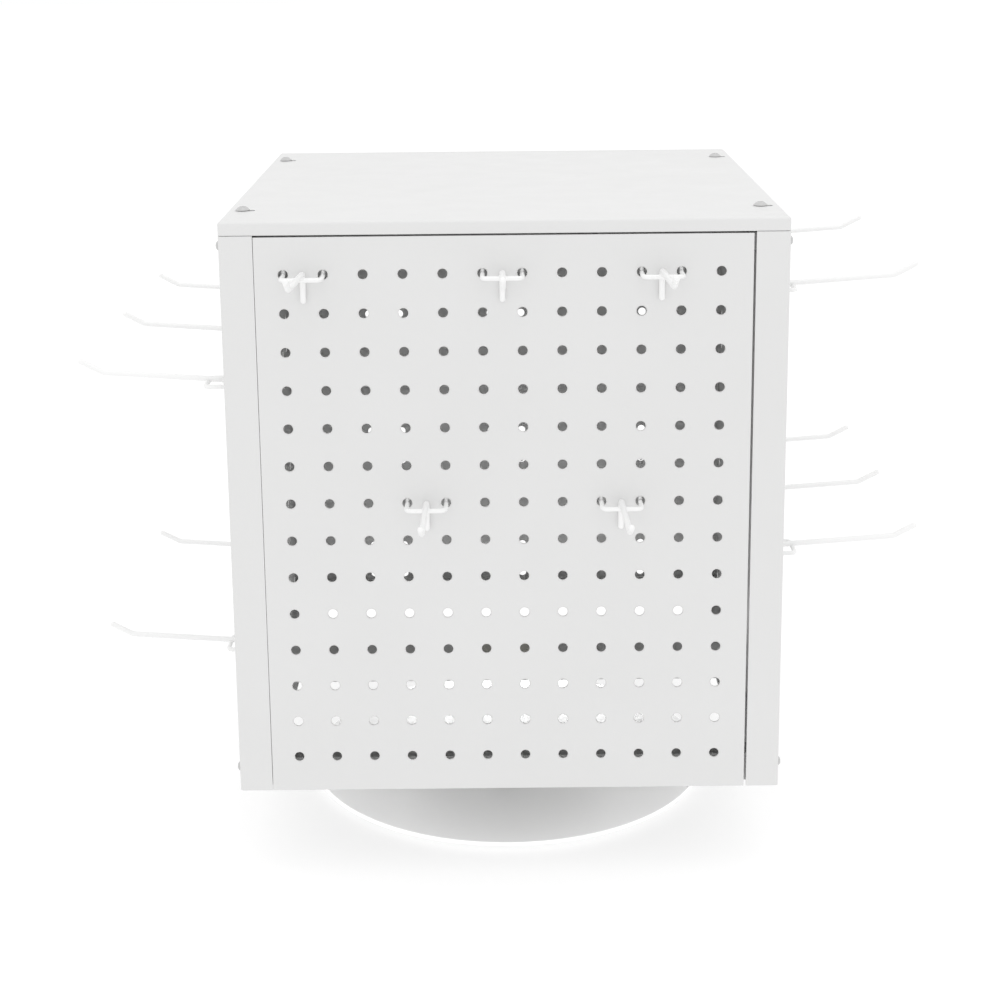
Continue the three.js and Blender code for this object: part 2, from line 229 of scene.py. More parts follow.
def rounded_line(corners: np.ndarray, radii: list[float], steps: int = 6) -> np.ndarray:
    """Line through corners whose inner corners are arcs that touch both straight parts.

    An arc of radius r at a corner of half angle h starts r / tan h before it, and its
    centre is r / sin h away along the bisector.

    Args:
        corners: Corner points, in two or three dimensions.
        radii: Radius at each inner corner.
        steps: Steps along each arc.

    Returns:
        The points of the line.
    """
    corners = np.asarray(corners, float)
    back = corners[:-2] - corners[1:-1]
    ahead = corners[2:] - corners[1:-1]
    back /= np.linalg.norm(back, axis=1, keepdims=True)
    ahead /= np.linalg.norm(ahead, axis=1, keepdims=True)
    half = np.arccos(np.clip(np.sum(back * ahead, 1), -1, 1)) / 2
    radius = np.asarray(radii, float)
    bisector = back + ahead
    bisector /= np.linalg.norm(bisector, axis=1, keepdims=True)
    centre = corners[1:-1] + bisector * (radius / np.sin(half))[:, None]
    reach = (radius / np.tan(half))[:, None]
    start = corners[1:-1] + back * reach - centre
    end = corners[1:-1] + ahead * reach - centre
    sweep = (math.pi - 2 * half)[:, None]
    share = np.linspace(0, 1, steps + 1)[None]
    first = (np.sin((1 - share) * sweep) / np.sin(sweep))[..., None]
    second = (np.sin(share * sweep) / np.sin(sweep))[..., None]
    arcs = centre[:, None] + first * start[:, None] + second * end[:, None]
    return np.concatenate([corners[:1], arcs.reshape(-1, corners.shape[1]), corners[-1:]])


def rounded_loop(corners: np.ndarray, radius: float, steps: int = 4) -> np.ndarray:
    """Closed profile whose corners are all rounded by one radius.

    Args:
        corners: Corner points in order, without repeating the first.
        radius: Radius of every corner.
        steps: Steps along each arc.

    Returns:
        The points of the loop.
    """
    corners = np.asarray(corners, float)
    around = np.concatenate([corners[-1:], corners, corners[:1]])
    return rounded_line(around, [radius] * len(corners), steps)[1:-1]


def wire(path: np.ndarray, radius: float, lean: tuple[float, float, float], sides: int) -> Surface:
    """Round wire along a path, with rounded ends.

    Each station carries a circle square to the path, whose first point leans towards one
    fixed direction. Near an end the circle's radius is r sin p at a distance of
    r (1 - cos p) from the tip, for p from a small angle to a right angle.

    Args:
        path: Points of the centre line.
        radius: Radius of the wire.
        lean: Direction that is never along the path.
        sides: Points round the wire.

    Returns:
        The closed wire.
    """
    dome = np.radians([20, 42, 66, 90])
    inset = radius * (1 - np.cos(dome))[:, None]
    first_way = path[1] - path[0]
    first_way /= np.linalg.norm(first_way)
    last_way = path[-2] - path[-1]
    last_way /= np.linalg.norm(last_way)
    line = np.concatenate([
        path[0] + inset * first_way,
        path[1:-1],
        path[-1] + inset[::-1] * last_way,
    ])
    width = np.concatenate([
        radius * np.sin(dome),
        np.full(len(path) - 2, radius),
        radius * np.sin(dome)[::-1],
    ])
    ahead = np.diff(line, axis=0)
    ahead /= np.linalg.norm(ahead, axis=1, keepdims=True)
    way = np.concatenate([ahead[:1], ahead[:-1] + ahead[1:], ahead[-1:]])
    way /= np.linalg.norm(way, axis=1, keepdims=True)
    lean_way = np.array(lean, float)
    normal = lean_way - (way @ lean_way)[:, None] * way
    normal /= np.linalg.norm(normal, axis=1, keepdims=True)
    side = np.cross(way, normal)
    angle = (np.arange(sides) * (2 * math.pi / sides))[None, :, None]
    circle = np.cos(angle) * normal[:, None] + np.sin(angle) * side[:, None]
    rings = line[:, None] + width[:, None, None] * circle
    return ringed(rings, path[0], path[-1])


def bead(centre: tuple[float, float, float], size: tuple[float, float, float]) -> Surface:
    """Uneven weld bead: an ellipsoid whose radius swells and sinks in slow waves.

    Args:
        centre: Middle of the bead.
        size: Half sizes along X, Y and Z.

    Returns:
        The closed bead.
    """
    rise = np.linspace(0, math.pi, 11)[1:-1][:, None]
    angle = (np.arange(18) * (2 * math.pi / 18))[None]
    swell = 1 + 0.07 * np.sin(3 * angle + 1) * np.sin(2 * rise) + 0.04 * np.cos(5 * angle)
    rings = np.stack([
        size[0] * swell * np.sin(rise) * np.cos(angle),
        size[1] * swell * np.sin(rise) * np.sin(angle),
        size[2] * -np.cos(rise) * np.ones_like(angle),
    ], -1) + np.array(centre)
    foot = np.array([centre[0], centre[1], centre[2] - size[2]])
    top = np.array([centre[0], centre[1], centre[2] + size[2]])
    return ringed(rings, foot, top)


# --------------------------------------------------------------------------- finishes


class Nodes:
    """A material's node tree, built one node at a time."""

    def __init__(self, name: str) -> None:
        """Start an empty material with its shader and output.

        Args:
            name: Name of the material.
        """
        self.material = bpy.data.materials.new(name)
        self.material.use_nodes = True
        self.tree = self.material.node_tree
        self.tree.nodes.clear()
        self.shader = self.tree.nodes.new("ShaderNodeBsdfPrincipled")
        output = self.tree.nodes.new("ShaderNodeOutputMaterial")
        self.tree.links.new(self.shader.outputs["BSDF"], output.inputs["Surface"])
        self.place = self.tree.nodes.new("ShaderNodeTexCoord").outputs["Object"]

    def join(self, source: bpy.types.NodeSocket, target: bpy.types.NodeSocket) -> None:
        """Link one socket to another."""
        self.tree.links.new(source, target)

    def noise(
        self,
        scale: float,
        detail: float = 2.0,
        rough: float = 0.5,
        stretch: tuple[float, float, float] | None = None,
    ) -> bpy.types.NodeSocket:
        """Add a noise pattern on object coordinates.

        Args:
            scale: Pattern size as repeats in a metre.
            detail: Number of finer layers.
            rough: Strength of the finer layers.
            stretch: Scale along each axis, or None for an even pattern.

        Returns:
            The pattern's value.
        """
        place = self.place
        if stretch is not None:
            mapping = self.tree.nodes.new("ShaderNodeMapping")
            mapping.inputs["Scale"].default_value = stretch
            self.join(place, mapping.inputs["Vector"])
            place = mapping.outputs["Vector"]
        node = self.tree.nodes.new("ShaderNodeTexNoise")
        node.inputs["Scale"].default_value = scale
        node.inputs["Detail"].default_value = detail
        node.inputs["Roughness"].default_value = rough
        self.join(place, node.inputs["Vector"])
        return node.outputs["Fac"]

    def ranged(
        self, value: bpy.types.NodeSocket, start: tuple[float, float], end: tuple[float, float]
    ) -> bpy.types.NodeSocket:
        """Map a value from one range to another, held at both ends.

        Args:
            value: The value to map.
            start: Range it comes from.
            end: Range it goes to.

        Returns:
            The mapped value.
        """
        node = self.tree.nodes.new("ShaderNodeMapRange")
        for name, number in zip(("From Min", "From Max", "To Min", "To Max"), (*start, *end)):
            node.inputs[name].default_value = number
        self.join(value, node.inputs["Value"])
        return node.outputs["Result"]

    def times(
        self, first: bpy.types.NodeSocket, second: bpy.types.NodeSocket
    ) -> bpy.types.NodeSocket:
        """Multiply two values.

        Args:
            first: One value.
            second: The other value.

        Returns:
            Their product.
        """
        node = self.tree.nodes.new("ShaderNodeMath")
        node.operation = "MULTIPLY"
        self.join(first, node.inputs[0])
        self.join(second, node.inputs[1])
        return node.outputs[0]

    def blended(
        self,
        share: bpy.types.NodeSocket,
        first: tuple[float, float, float] | bpy.types.NodeSocket,
        second: tuple[float, float, float],
    ) -> bpy.types.NodeSocket:
        """Blend two colours.

        Args:
            share: Share of the second colour.
            first: First colour, or the socket it comes from.
            second: Second colour.

        Returns:
            The blended colour.
        """
        node = self.tree.nodes.new("ShaderNodeMix")
        node.data_type = "RGBA"
        self.join(share, node.inputs[0])
        if isinstance(first, bpy.types.NodeSocket):
            self.join(first, node.inputs[6])
        else:
            node.inputs[6].default_value = (*first, 1.0)
        node.inputs[7].default_value = (*second, 1.0)
        return node.outputs[2]

    def wear(self) -> bpy.types.NodeSocket:
        """Return the piece's wear value."""
        node = self.tree.nodes.new("ShaderNodeAttribute")
        node.attribute_name = WEAR
        return node.outputs["Fac"]

    def relief(self, layers: list[tuple[bpy.types.NodeSocket, float, float]]) -> None:
        """Carry height patterns to the shader as bumps, the first one lowest.

        Args:
            layers: Each pattern with its strength and its depth in metres.
        """
        below = None
        for height, strength, depth in layers:
            bump = self.tree.nodes.new("ShaderNodeBump")
            bump.inputs["Strength"].default_value = strength
            bump.inputs["Distance"].default_value = depth
            self.join(height, bump.inputs["Height"])
            if below is not None:
                self.join(below, bump.inputs["Normal"])
            below = bump.outputs["Normal"]
        self.join(below, self.shader.inputs["Normal"])


@dataclass(frozen=True)
class PowderCoat:
    """Baked white powder paint: fine orange peel, faint mottling, rubbed rims."""

    slot: str
    colour: tuple[float, float, float]
    shade: tuple[float, float, float]
    rubbed: tuple[float, float, float]
    roughness: tuple[float, float]
    peel: float = 900.0
    peel_depth: float = 0.00006

    def material(self, name: str) -> bpy.types.Material:
        """Build the finish.

        Args:
            name: Name of the material.

        Returns:
            The material.
        """
        nodes = Nodes(name)
        mottle = nodes.ranged(nodes.noise(13.0, 5.0, 0.6), (0.35, 0.7), (0.0, 1.0))
        colour = nodes.blended(mottle, self.colour, self.shade)
        chips = nodes.ranged(nodes.noise(700.0, 3.0, 0.7), (0.42, 0.66), (0.15, 1.0))
        colour = nodes.blended(nodes.times(nodes.wear(), chips), colour, self.rubbed)
        nodes.join(colour, nodes.shader.inputs["Base Color"])
        smear = nodes.noise(38.0, 4.0, 0.6)
        roughness = nodes.ranged(smear, (0.3, 0.7), self.roughness)
        nodes.join(roughness, nodes.shader.inputs["Roughness"])
        peel = nodes.noise(self.peel, 2.5, 0.55)
        waves = nodes.noise(22.0, 1.0, 0.4)
        nodes.relief([(waves, 0.1, 0.0006), (peel, 0.55, self.peel_depth)])
        nodes.shader.inputs["IOR"].default_value = 1.48
        return nodes.material


@dataclass(frozen=True)
class TurnedMetal:
    """Zinc-plated steel with fine lathe or drawing lines and dull spots."""

    slot: str
    colour: tuple[float, float, float]
    dull: tuple[float, float, float]
    roughness: tuple[float, float]

    def material(self, name: str) -> bpy.types.Material:
        """Build the finish.

        Args:
            name: Name of the material.

        Returns:
            The material.
        """
        nodes = Nodes(name)
        spots = nodes.ranged(nodes.noise(60.0, 5.0, 0.65), (0.4, 0.65), (0.0, 1.0))
        nodes.join(nodes.blended(spots, self.colour, self.dull), nodes.shader.inputs["Base Color"])
        lines = nodes.noise(60.0, 2.0, 0.5, stretch=(1.0, 1.0, 60.0))
        roughness = nodes.ranged(lines, (0.3, 0.7), self.roughness)
        nodes.join(roughness, nodes.shader.inputs["Roughness"])
        nodes.relief([(lines, 0.3, 0.00003), (nodes.noise(1500.0), 0.2, 0.00002)])
        nodes.shader.inputs["Metallic"].default_value = 1.0
        return nodes.material


@dataclass(frozen=True)
class Moulded:
    """Moulded plastic or rubber: a faint tool grain and slow colour drift."""

    slot: str
    colour: tuple[float, float, float]
    drift: tuple[float, float, float]
    roughness: tuple[float, float]
    grain: float
    depth: float

    def material(self, name: str) -> bpy.types.Material:
        """Build the finish.

        Args:
            name: Name of the material.

        Returns:
            The material.
        """
        nodes = Nodes(name)
        drift = nodes.ranged(nodes.noise(40.0, 4.0, 0.6), (0.35, 0.65), (0.0, 1.0))
        nodes.join(nodes.blended(drift, self.colour, self.drift), nodes.shader.inputs["Base Color"])
        grain = nodes.noise(self.grain, 3.0, 0.6)
        roughness = nodes.ranged(grain, (0.3, 0.7), self.roughness)
        nodes.join(roughness, nodes.shader.inputs["Roughness"])
        nodes.relief([(grain, 0.6, self.depth)])
        return nodes.material


class Finish(Enum):
    """The finishes of the stand."""

    WALL_COAT = "wall coat"
    BASE_COAT_PAINTED_LIGHT = "base coat with painted light"
    SCREW_COAT = "screw coat"
    WIRE_COAT = "wire coat"
    ZINC_STEEL = "zinc steel"
    NYLON = "nylon"
    RUBBER = "rubber"


FINISHES = {
    Finish.WALL_COAT: PowderCoat(
        "powder_coat", (0.735, 0.735, 0.733), (0.725, 0.725, 0.722), (0.62, 0.62, 0.61),
        (0.38, 0.52),
    ),
    # Painted light: the walls' white powder paint made lighter for the disc, so that it looks lit
    # where the body shades it.
    Finish.BASE_COAT_PAINTED_LIGHT: PowderCoat(
        "powder_coat", (0.77, 0.77, 0.768), (0.76, 0.76, 0.758), (0.7, 0.7, 0.69), (0.4, 0.54)
    ),
    Finish.SCREW_COAT: PowderCoat(
        "powder_coat", (0.56, 0.56, 0.558), (0.52, 0.52, 0.518), (0.4, 0.4, 0.395), (0.22, 0.34)
    ),
    Finish.WIRE_COAT: PowderCoat(
        "coated_wire", (0.9, 0.9, 0.898), (0.885, 0.885, 0.882), (0.74, 0.74, 0.73), (0.26, 0.38),
        1400.0, 0.00004,
    ),
    Finish.ZINC_STEEL: TurnedMetal(
        "zinc_steel", (0.62, 0.63, 0.64), (0.5, 0.51, 0.52), (0.24, 0.42)
    ),
    Finish.NYLON: Moulded(
        "nylon", (0.78, 0.76, 0.69), (0.74, 0.72, 0.65), (0.38, 0.52), 900.0, 0.00003
    ),
    Finish.RUBBER: Moulded(
        "rubber_foot", (0.035, 0.035, 0.036), (0.05, 0.05, 0.05), (0.65, 0.85), 700.0, 0.0001
    ),
}


@dataclass
class Paint:
    """Makes each finish once and gives it to pieces."""

    made: dict[Finish, bpy.types.Material] = field(default_factory=dict)

    def of(self, finish: Finish) -> bpy.types.Material:
        """Return the material of a finish, built on first use."""
        if finish not in self.made:
            self.made[finish] = FINISHES[finish].material(finish.value)
        return self.made[finish]

    def dress(self, piece: bpy.types.Object, finish: Finish) -> None:
        """Give a piece its finish.

        Args:
            piece: The piece to dress.
            finish: The finish it takes.
        """
        piece.data.materials.clear()
        piece.data.materials.append(self.of(finish))


# --------------------------------------------------------------------------- pieces


@dataclass
class Workshop:
    """Turns surfaces into pieces of the stand."""

    nodes: dict[str, bpy.types.Object]
    paint: Paint

    def piece(
        self,
        name: str,
        surface: Surface,
        finish: Finish,
        body: str,
        stands_for: str,
        thickness: float = 0.0,
        bevel: float = 0.0,
    ) -> bpy.types.Object:
        """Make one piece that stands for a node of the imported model.

        Args:
            name: Name of the piece.
            surface: Its surface, in place.
            finish: Its finish.
            body: The body it moves with.
            stands_for: The node it replaces.
            thickness: Sheet thickness laid inwards, or zero for a closed surface.
            bevel: Width of the rounded edges, or zero for none.

        Returns:
            The finished piece.
        """
        mesh = bpy.data.meshes.new(name)
        faces = [face for block in surface.faces for face in block.tolist()]
        mesh.from_pydata(surface.points.tolist(), [], faces)
        wear = mesh.attributes.new(WEAR, "FLOAT", "POINT")
        wear.data.foreach_set("value", surface.worn().astype(np.float32))
        mesh.polygons.foreach_set("use_smooth", np.ones(len(mesh.polygons), bool))
        mesh.update()
        if not bevel:
            mesh.set_sharp_from_angle(angle=math.radians(35))
        piece = bpy.data.objects.new(name, mesh)
        bpy.context.scene.collection.objects.link(piece)
        if thickness:
            solidify = piece.modifiers.new("sheet", "SOLIDIFY")
            solidify.thickness = thickness
            solidify.offset = -1.0
            solidify.use_even_offset = True
        if bevel:
            rounding = piece.modifiers.new("rims", "BEVEL")
            rounding.width = bevel
            rounding.segments = 2
            rounding.limit_method = "ANGLE"
            rounding.angle_limit = math.radians(40)
            rounding.harden_normals = True
        self.paint.dress(piece, finish)
        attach(piece, body)
        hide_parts(stands_for)
        log.info("%s: %d points", name, len(surface.points))
        return piece

    def cut(self, piece: bpy.types.Object, punch: Surface) -> None:
        """Cut a punch's shape out of a piece for good.

        Args:
            piece: The piece to cut.
            punch: Closed surface of what is taken away.
        """
        mesh = bpy.data.meshes.new("punch")
        mesh.from_pydata(
            punch.points.tolist(), [], [face for block in punch.faces for face in block.tolist()]
        )
        tool = bpy.data.objects.new("punch", mesh)
        bpy.context.scene.collection.objects.link(tool)
        cutting = piece.modifiers.new("cut", "BOOLEAN")
        cutting.operation = "DIFFERENCE"
        cutting.solver = "EXACT"
        cutting.object = tool
        bpy.context.view_layer.update()
        shape = piece.evaluated_get(bpy.context.evaluated_depsgraph_get())
        made = bpy.data.meshes.new_from_object(shape)
        piece.modifiers.clear()
        piece.data = made
        made.set_sharp_from_angle(angle=math.radians(35))
        bpy.data.objects.remove(tool)
        bpy.data.meshes.remove(mesh)

    def keep(self, node: str, finish: Finish) -> None:
        """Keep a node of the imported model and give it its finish.

        Args:
            node: Name of the node.
            finish: Its finish.
        """
        self.paint.dress(self.nodes[node], finish)
        log.info("%s: kept", node)


@dataclass
class Lattice:
    """Round holes on a square pitch in a flat sheet, with plain margins."""

    columns: int
    rows: int
    centre: float
    lowest: float
    pitch: float = 25.4 * MM
    radius: float = 3.175 * MM
    steps: int = 6

    def cell(self) -> np.ndarray:
        """Work out one hole's rings of points.

        The outer ring runs round the square cell in even steps. The others are circles
        whose points lie at the same angles, at 1.4 times the hole radius and at the rim.

        Returns:
            Three rings of points in the sheet.
        """
        half = self.pitch / 2
        run = -half + np.arange(self.steps) * self.pitch / self.steps
        edge = np.full(self.steps, half)
        square = np.concatenate([
            np.stack([run, -edge], -1),
            np.stack([edge, run], -1),
            np.stack([-run, edge], -1),
            np.stack([-edge, -run], -1),
        ])
        way = square / np.linalg.norm(square, axis=1, keepdims=True)
        return np.stack([square, 1.4 * self.radius * way, self.radius * way])

    def sheet(self, across: np.ndarray, up: np.ndarray) -> Surface:
        """Lay out the flat sheet: holed cells in the middle and plain strips round them.

        Args:
            across: Places along the sheet where its margins are divided, ends included.
            up: The same up the sheet.

        Returns:
            The flat sheet, as (along, height, 0) points.
        """
        column = self.centre + (np.arange(self.columns) - (self.columns - 1) / 2) * self.pitch
        row = self.lowest + np.arange(self.rows) * self.pitch
        centres = np.stack(np.meshgrid(column, row, indexing="ij"), -1).reshape(-1, 1, 2)
        cell = self.cell()
        flat = (centres + cell.reshape(1, -1, 2)).reshape(-1, 2)
        block = grid_faces(3, 4 * self.steps, close_columns=True)
        starts = np.arange(len(centres)) * cell[..., 0].size
        holed = (block[None] + starts[:, None, None]).reshape(-1, 4)
        rim = np.tile(np.repeat([0.0, 0.0, 1.0], 4 * self.steps), len(centres))
        left, right = column[0] - self.pitch / 2, column[-1] + self.pitch / 2
        low, high = row[0] - self.pitch / 2, row[-1] + self.pitch / 2
        u = np.unique(np.round(np.concatenate([
            across, np.linspace(left, right, self.columns * self.steps + 1)]), 8))
        v = np.unique(np.round(np.concatenate([
            up, np.linspace(low, high, self.rows * self.steps + 1)]), 8))
        grid = np.stack(np.meshgrid(u, v, indexing="xy"), -1).reshape(-1, 2)
        plain = grid_faces(len(v), len(u))
        middle = grid[plain].mean(1)
        inside = (
            (middle[:, 0] > left) & (middle[:, 0] < right)
            & (middle[:, 1] > low) & (middle[:, 1] < high)
        )
        kept = plain[~inside]
        numbers, packed = np.unique(kept, return_inverse=True)
        margin = Surface(grid[numbers], [packed.reshape(kept.shape)])
        sheet = Surface(flat, [holed], rim).joined(margin)
        sheet.points = np.concatenate([sheet.points, np.zeros((len(sheet.points), 1))], 1)
        return sheet.welded()


@dataclass
class Walls:
    """The four perforated walls of the body."""

    shop: Workshop
    half: float = 182 * MM
    sheet: float = 1.2 * MM
    bottom: float = 64 * MM
    top: float = 443.9 * MM
    flange: float = 21.9 * MM
    bend: float = 2.0 * MM
    lowest_row: float = 88.5 * MM
    face_left: float = -159.8 * MM
    face_right: float = 158.6 * MM
    face_top: float = 443.0 * MM
    face_grid: float = -1.6 * MM
    edge_depth: float = 21 * MM

    def folded(self, flat: Surface) -> Surface:
        """Fold the flat sheet's two ends back round the bend radius.

        With l the half length of the flat part and r the radius, a point u along the sheet
        lies at (u, 0) while |u| < l, at (l + r sin p, r (1 - cos p)) on the bend, where
        p = (|u| - l) / r, and beyond it straight back at the half width.

        Args:
            flat: The flat sheet as (along, height, 0).

        Returns:
            The folded wall facing -Y.
        """
        along, height = flat.points[:, 0], flat.points[:, 1]
        straight = self.half - self.bend
        past = np.clip(np.abs(along) - straight, 0, None)
        arc = self.bend * math.pi / 2
        angle = np.clip(past / self.bend, 0, math.pi / 2)
        x = np.sign(along) * (np.minimum(np.abs(along), straight) + self.bend * np.sin(angle))
        back = self.bend * (1 - np.cos(angle)) + np.clip(past - arc, 0, None)
        points = np.stack([x, back - self.half, height], -1)
        return Surface(points, flat.faces, flat.wear)

    def side(self, facing: Facing, name: str) -> None:
        """Build a side wall with its folded strips.

        Args:
            facing: Which side.
            name: The node it stands for.
        """
        straight = self.half - self.bend
        arc = self.bend * math.pi / 2
        end = straight + arc + self.flange - self.bend
        bend = np.linspace(straight, straight + arc, 7)
        across = np.concatenate([-bend, bend, [-end, end]])
        lattice = Lattice(14, 14, 0.0, self.lowest_row)
        wall = self.folded(lattice.sheet(across, np.array([self.bottom, self.top])))
        inset = 1.4 * MM
        for low in (self.bottom + 0.2 * MM, self.top - 0.2 * MM - self.sheet):
            span = self.half - inset
            front = -self.half + inset
            inner = (span, self.edge_depth - self.half, low)
            wall = wall.joined(self.strip((-span, front, low), inner))
        wall = wall.placed(facing.value)
        self.shop.piece(
            f"{name}_wall", wall, Finish.WALL_COAT, "body", name, self.sheet, 0.22 * MM
        )

    def strip(self, low: tuple[float, float, float], high: tuple[float, float, float]) -> Surface:
        """Flat level strip whose thickness is laid below it.

        Args:
            low: Lowest corner in plan, at the height of the underside.
            high: Highest corner in plan.

        Returns:
            One row of level faces at the strip's upper side.
        """
        x = np.linspace(low[0], high[0], 15)
        y = np.array([low[1], high[1]])
        points = np.stack(np.meshgrid(x, y, indexing="xy"), -1).reshape(-1, 2)
        height = np.full((len(points), 1), low[2] + self.sheet)
        return Surface(np.concatenate([points, height], 1), [grid_faces(2, len(x))])

    def face(self, facing: Facing, name: str) -> None:
        """Build the front or back wall with the returns along its edges.

        Args:
            facing: Front or back.
            name: The node it stands for.
        """
        lattice = Lattice(12, 14, self.face_grid, self.lowest_row)
        across = np.array([self.face_left, self.face_right])
        flat = lattice.sheet(across, np.array([self.bottom, self.face_top]))
        points = np.stack(
            [flat.points[:, 0], np.full(len(flat.points), -self.half), flat.points[:, 1]], -1
        )
        wall = Surface(points, flat.faces, flat.wear)
        low, high = self.bottom + 24 * MM, self.face_top - 15 * MM
        depth = 12 * MM - self.half
        front = -self.half + self.sheet + 0.05 * MM
        for edge, way in ((self.face_left + 0.2 * MM, -1), (self.face_right - 0.2 * MM, 1)):
            plate = np.array([
                [edge, front, low], [edge, depth, low], [edge, depth, high], [edge, front, high],
            ])
            wall = wall.joined(Surface(plate[::way], [np.arange(4).reshape(1, 4)]))
        wall = wall.placed(facing.value)
        self.shop.piece(
            f"{name}_wall", wall, Finish.WALL_COAT, "body", name, self.sheet, 0.3 * MM
        )

    def build(self) -> None:
        """Build all four walls."""
        self.side(Facing.RIGHT, "side_panel_right")
        self.side(Facing.LEFT, "side_panel_left")
        self.face(Facing.FRONT, "front_panel")
        self.face(Facing.BACK, "back_panel")


@dataclass
class Cover:
    """The lid with its folded skirt, and its four screws."""

    shop: Workshop
    half: float = 182 * MM
    sheet: float = 1.2 * MM
    top: float = 452.7 * MM
    skirt: float = 8.5 * MM
    corner: float = 2.2 * MM
    roll: float = 1.5 * MM
    screw_x: float = 170.6 * MM
    screw_shift: float = -1.5 * MM
    screw_y: float = 131 * MM
    slot_radius: float = 2.3 * MM
    slot_length: float = 6 * MM

    def squares(self, profile: np.ndarray, steps: int = 6) -> np.ndarray:
        """Carry a profile of (inset, height) points round a square with rounded corners.

        A ring at inset d has half size h - d and corner radius c - d, held above a small
        value; its corner points are the corner centre plus the radius along the angle.

        Args:
            profile: Rows of (inset, height).
            steps: Steps round each corner.

        Returns:
            Rings of points, one for each row of the profile.
        """
        quarter = np.linspace(0, math.pi / 2, steps + 1)
        angle = (quarter[None] + np.arange(4)[:, None] * math.pi / 2).reshape(-1)
        way = np.stack([np.cos(angle), np.sin(angle)], -1)
        corner = np.repeat(np.array([[1, 1], [-1, 1], [-1, -1], [1, -1]]), steps + 1, axis=0)
        inset = profile[:, 0][:, None, None]
        radius = np.maximum(self.corner - inset, 0.2 * MM)
        flat = corner[None] * (self.half - inset - radius) + way[None] * radius
        height = np.broadcast_to(profile[:, 1][:, None, None], (*flat.shape[:2], 1))
        return np.concatenate([flat, height], 2)

    def lid(self) -> None:
        """Build the lid: its underside, skirt, rolled edge and flat top."""
        low = self.top - self.skirt
        under = self.top - self.sheet
        inner = self.sheet
        skirt = rounded_line(
            np.array([
                [60 * MM, under], [inner, under], [inner, low],
                [0, low], [0, self.top], [60 * MM, self.top],
            ]),
            [0.5 * MM, 0.3 * MM, 0.3 * MM, self.roll],
            5,
        )
        flat = np.array([[120 * MM, 0], [165 * MM, 0]])
        profile = np.concatenate([
            (flat + [0, under])[::-1], skirt, flat + [0, self.top],
        ])
        rings = self.squares(profile)
        lid = ringed(rings, np.array([0, 0, under]), np.array([0, 0, self.top]))
        piece = self.shop.piece("top_cover_lid", lid, Finish.WALL_COAT, "body", "top_cover")
        self.shop.cut(piece, self.slots())

    def screw_places(self) -> list[tuple[str, float, float]]:
        """Return the name and place in plan of each screw."""
        return [
            (name, x * self.screw_x + self.screw_shift, y * self.screw_y) for name, x, y in CORNERS
        ]

    def slots(self) -> Surface:
        """Work out the four upright punches that cut the slots in the lid.

        Each is a round-ended outline, two half circles of the slot radius set apart by
        the slot length along X, carried straight up through the sheet.

        Returns:
            The punches as one surface.
        """
        quarter = np.linspace(-math.pi / 2, math.pi / 2, 9)
        ahead = np.stack([np.cos(quarter), np.sin(quarter)], -1) * self.slot_radius
        outline = np.concatenate([ahead + [self.slot_length, 0], -ahead])
        depth = 3 * self.sheet
        rings = np.stack([
            np.concatenate([outline, np.full((len(outline), 1), height)], 1)
            for height in (-depth, depth)
        ])
        middle = self.slot_length / 2
        punch = ringed(rings, np.array([middle, 0, -depth]), np.array([middle, 0, depth]))
        first, *others = [
            punch.placed(0.0, (x, y, self.top)) for _, x, y in self.screw_places()
        ]
        return first.joined(*others)

    def build(self) -> None:
        """Build the lid and the screws that hold it."""
        self.lid()
        for name, x, y in self.screw_places():
            place = (x, y, self.top + 0.3 * MM)
            screw = Screw(4.8 * MM, 2.7 * MM, 2.0 * MM, 13 * MM, turn=7 * x + 9 * y).surface()
            node = f"cover_screw_{name}"
            self.shop.piece(
                f"{node}_head", screw.placed(0.0, place), Finish.SCREW_COAT, "body", node
            )


CORNERS = (
    ("front_left", -1, -1),
    ("front_right", 1, -1),
    ("back_left", -1, 1),
    ("back_right", 1, 1),
)


@dataclass
class Screw:
    """Round-headed screw whose head rests at height 0."""

    head: float
    height: float
    shank: float
    length: float
    turn: float = 0.0

    def surface(self) -> Surface:
        """Work out the screw with a cross recess in its head.

        The dome's height at radius r is h (1 - (r / R)^2.6). The recess lowers points
        whose distance from either of two crossed lines is small, fading along each line.

        Returns:
            The closed screw along Z.
        """
        share = np.linspace(1, 0, 15)[1:-1]
        dome = np.stack([self.head * share, self.height * (1 - share**2.6)], -1)
        profile = np.concatenate([
            [
                [0, -self.length],
                [self.shank * 0.6, -self.length],
                [self.shank, -self.length + 1.5 * MM],
            ],
            [[self.shank, -0.02 * MM], [self.head * 0.96, 0], [self.head, 0.35 * MM]],
            dome,
            [[0, self.height]],
        ])
        screw = turned(profile, 48)
        points = screw.points
        cosine, sine = math.cos(self.turn), math.sin(self.turn)
        x = points[:, 0] * cosine + points[:, 1] * sine
        y = points[:, 1] * cosine - points[:, 0] * sine
        reach = self.head * 0.5
        slot = self.head * 0.13
        x_across = np.clip(1.6 - np.abs(x) / slot, 0, 1)
        y_across = np.clip(1.6 - np.abs(y) / slot, 0, 1)
        x_along = np.clip((reach - np.abs(x)) / (0.4 * reach), 0, 1)
        y_along = np.clip((reach - np.abs(y)) / (0.4 * reach), 0, 1)
        first = x_across * y_along
        second = y_across * x_along
        on_dome = points[:, 2] > 0.4 * self.height
        sunk = np.where(on_dome, np.maximum(first, second), 0)
        lowered = points - sunk[:, None] * np.array([0, 0, 0.45 * self.height])
        return Surface(lowered, screw.faces, 0.5 * sunk)


